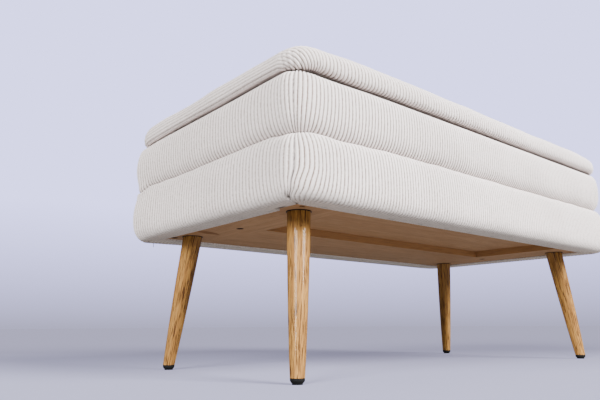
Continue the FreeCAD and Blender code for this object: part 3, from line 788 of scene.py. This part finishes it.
def makeLidCover():
    coreX, coreY = lidPlan["coreX"], lidPlan["coreY"]
    fine = throughPoints(lidPlan["edge"], 400, crowd=0)
    length = np.r_[0, np.cumsum(np.linalg.norm(np.diff(fine, axis=0), axis=1))]
    total = length[-1]
    halfS, halfT = coreX + total, coreY + total
    ribs = round(2 * halfS / cordPlan["lidPitch"])
    s = np.linspace(-halfS, halfS, ribs * cordPlan["perRib"] + 1)
    side = np.linspace(coreY - 9, halfT, lidPlan["sideRows"])
    t = np.r_[-side[::-1], np.linspace(-side[0], side[0], lidPlan["middleRows"])[1:-1], side]
    s, t = np.meshgrid(s, t)

    # a flat sheet wrapped over the edge: e runs outwards from the flat middle, angle goes round each corner
    ax, ay = np.maximum(np.abs(s) - coreX, 0), np.maximum(np.abs(t) - coreY, 0)
    e = np.hypot(ax, ay)
    out = e > total + 1e-6
    e = np.minimum(e, total)
    angle = np.arctan2(ay, ax)
    r, z = np.interp(e, length, fine[:, 0]), np.interp(e, length, fine[:, 1])
    inCorner = (ax > 0) & (ay > 0)
    x = np.minimum(np.abs(s), coreX) + np.where(ax > 0, r * np.cos(angle), 0)
    y = np.minimum(np.abs(t), coreY) + np.where(ay > 0, r * np.sin(angle), 0)
    low = lidPlan["endDrop"][0] + lidPlan["endDrop"][1] * np.cos(y * math.pi / 400) ** 2
    low = low * smoothStep(*lidPlan["endDropFrom"], x) + lidPlan["sideDrop"] * smoothStep(*lidPlan["sideDropFrom"], y)
    endFace = smoothStep(*lidPlan["endFace"][0], ax) * smoothStep(*lidPlan["endFace"][1], angle)
    droop = lidDroop(s, t, x, z, e, r, angle, endFace, low, total)
    x, y = x * np.sign(s), y * np.sign(t)

    # crown, slow unevenness and small gathers at the corners, with painted shade under the edge and in the pleat
    # grooves
    crown = lidPlan["crown"] * (1 - (x / 400) ** 2) * (1 - (y / 212) ** 2)
    place = np.stack([x, y, z + crown * smoothStep(total * 0.75, 0, e) - droop], axis=2)
    lower = smoothStep(*lidPlan["pleatsFrom"], e) * smoothStep(total, total - 18, e)
    (slowSize, slowDepth), (quickSize, quickDepth) = lidPlan["unevenness"]
    lift = softNoise(s, t, 5, slowSize) * slowDepth * smoothStep(total, 60, e)
    lift = lift + softNoise(s, t, 9, quickSize) * quickDepth
    (outer, outerEnd), (inner, innerEnd) = lidPlan["underEdge"]
    # painted shade on the underside of the edge, where it lies in the gap above the box
    under = smoothStep(outer - outerEnd * endFace, inner - innerEnd * endFace, r) * (z < 360) * (e > 40)
    shade = lidPlan["underShade"] * under
    (wander, wanderLength), (ridge, ridgeAt, ridgeWidth) = pleatShape["wander"], pleatShape["ridge"]
    pleatShade, shadeWidth = pleatShape["shade"]
    for turn, depth in lidPlan["pleats"]:
        across = (angle - turn - wander * np.sin(e / wanderLength)) * r
        here = inCorner * lower
        lift = lift + depth * (ridge * bell(across - ridgeAt, ridgeWidth) - bell(across, pleatShape["groove"])) * here
        # painted shade in the pleat grooves
        shade = shade + pleatShade * bell(across, shadeWidth) * here
    place = place + gridNormals(place) * lift[..., None]
    strength = cordPlan["lidDepth"] * (1 - lidPlan["underRibs"] * smoothStep(total - 24, total - 18, e))
    strength = strength * (1 - lidPlan["endRibs"] * endFace)
    place, rib = ribbedSurface(place, (s + halfS) / (2 * halfS) * ribs, strength)

    # the cut corners of the sheet are left out
    gone = out[:-1, :-1] & out[:-1, 1:] & out[1:, :-1] & out[1:, 1:]
    used, faces = np.unique(gridFaces(*s.shape, ~gone), return_inverse=True)
    marks = {"rib": rib.ravel()[used], "shade": np.clip(shade, 0, 1).ravel()[used]}
    piece = meshPiece("lidCover", place.reshape(-1, 3)[used], faces.reshape(-1, 4).tolist(), "lid",
                      corduroyMaterial, marks)
    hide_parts("lid_cover", "lid_foam")


makeLidCover()
print("lid cover made")


# pale floor with painted light falloff and a painted glow, and soft studio light

stagePlan = {"floor": (0.25, 0.25, 0.35, 1), "far": (0.14, 0.137, 0.195, 1), "bounce": (0.19, 0.185, 0.18, 1),
             "paintedGlow": (0.25, 0.245, 0.38, 1), "farPaintedGlow": (0.18, 0.172, 0.26, 1),
             "falloff": (0.65, 0.76, 0), "falloffEnds": (-0.2, 0.5), "horizon": (0.56, 0.55, 0.80, 1),
             "backdrop": (1.64, 1.65, 3.0, 1), "ambient": (0.26, 0.26, 0.28, 1), "size": 40,
             "roughness": 0.8, "specular": 0.15}
lampPlan = [
    {"name": "keyLamp", "towards": (0.30, -0.90, 0.50), "angle": 0.5, "power": 9.1},
    {"name": "leftLamp", "towards": (-0.88, -0.36, 0.42), "angle": 0.5, "power": 5.9},
]


def makeStage():
    bpy.ops.object.select_all(action="DESELECT")
    bpy.ops.mesh.primitive_plane_add(size=stagePlan["size"], location=(0, 0, 0))
    floor = bpy.context.object
    floor.name = "studioFloor"
    material, tree, shader = newMaterial("studioFloor")
    fibre = useGroup(tree, fibreGroup, Vector=objectVector(tree), Fineness=60.0)
    place = addNode(tree, "ShaderNodeTexCoord").outputs["Object"]
    # painted light falloff: the floor the camera sees darkens away behind the box, from the near colour to the far
    # one
    behind = addNode(tree, "ShaderNodeVectorMath", {0: place, 1: stagePlan["falloff"]}, operation="DOT_PRODUCT")
    blotch = mapRange(tree, fibre["Blotch"], 0, 1, -0.03, 0.03)
    behind = mapRange(tree, mathNode(tree, "ADD", behind.outputs["Value"], blotch), *stagePlan["falloffEnds"])
    seen = addNode(tree, "ShaderNodeLightPath").outputs["Is Camera Ray"]
    sheet = mixColour(tree, behind, stagePlan["floor"], stagePlan["far"])
    tree.links.new(mixColour(tree, seen, stagePlan["bounce"], sheet), shader.inputs["Base Color"])
    # painted light: the floor glows for the camera only, which lifts it and the shadows on it
    paintedGlow = mixColour(tree, behind, stagePlan["paintedGlow"], stagePlan["farPaintedGlow"])
    tree.links.new(mixColour(tree, seen, (0, 0, 0, 1), paintedGlow), shader.inputs["Emission Color"])
    shader.inputs["Emission Strength"].default_value = 1.0
    shader.inputs["Roughness"].default_value = stagePlan["roughness"]
    shader.inputs["Specular IOR Level"].default_value = stagePlan["specular"]
    floor.data.materials.append(material)
    makeWorld()
    for plan in lampPlan:
        data = bpy.data.lights.new(plan["name"], "SUN")
        data.angle, data.energy = plan["angle"], plan["power"]
        lamp = bpy.data.objects.new(plan["name"], data)
        lamp.rotation_euler = (-Vector(plan["towards"])).to_track_quat("-Z", "Y").to_euler()
        bpy.context.scene.collection.objects.link(lamp)


def makeWorld():
    # an even backdrop, a little darker towards the floor, and a dimmer neutral light from all round
    world = bpy.data.worlds.new("studioWorld")
    bpy.context.scene.world = world
    world.use_nodes = True
    tree = world.node_tree
    shown = tree.nodes["Background"]
    height = addNode(tree, "ShaderNodeSeparateXYZ", {0: addNode(tree, "ShaderNodeTexCoord").outputs["Generated"]})
    colour = mixColour(tree, mapRange(tree, height.outputs[2], 0.0, 0.2), stagePlan["horizon"], stagePlan["backdrop"])
    tree.links.new(colour, shown.inputs[0])
    ambient = addNode(tree, "ShaderNodeBackground", {0: stagePlan["ambient"]})
    both = addNode(tree, "ShaderNodeMixShader", {0: addNode(tree, "ShaderNodeLightPath").outputs["Is Camera Ray"]})
    tree.links.new(ambient.outputs[0], both.inputs[1])
    tree.links.new(shown.outputs[0], both.inputs[2])
    tree.links.new(both.outputs[0], tree.nodes["World Output"].inputs[0])


makeStage()
print("stage lit")
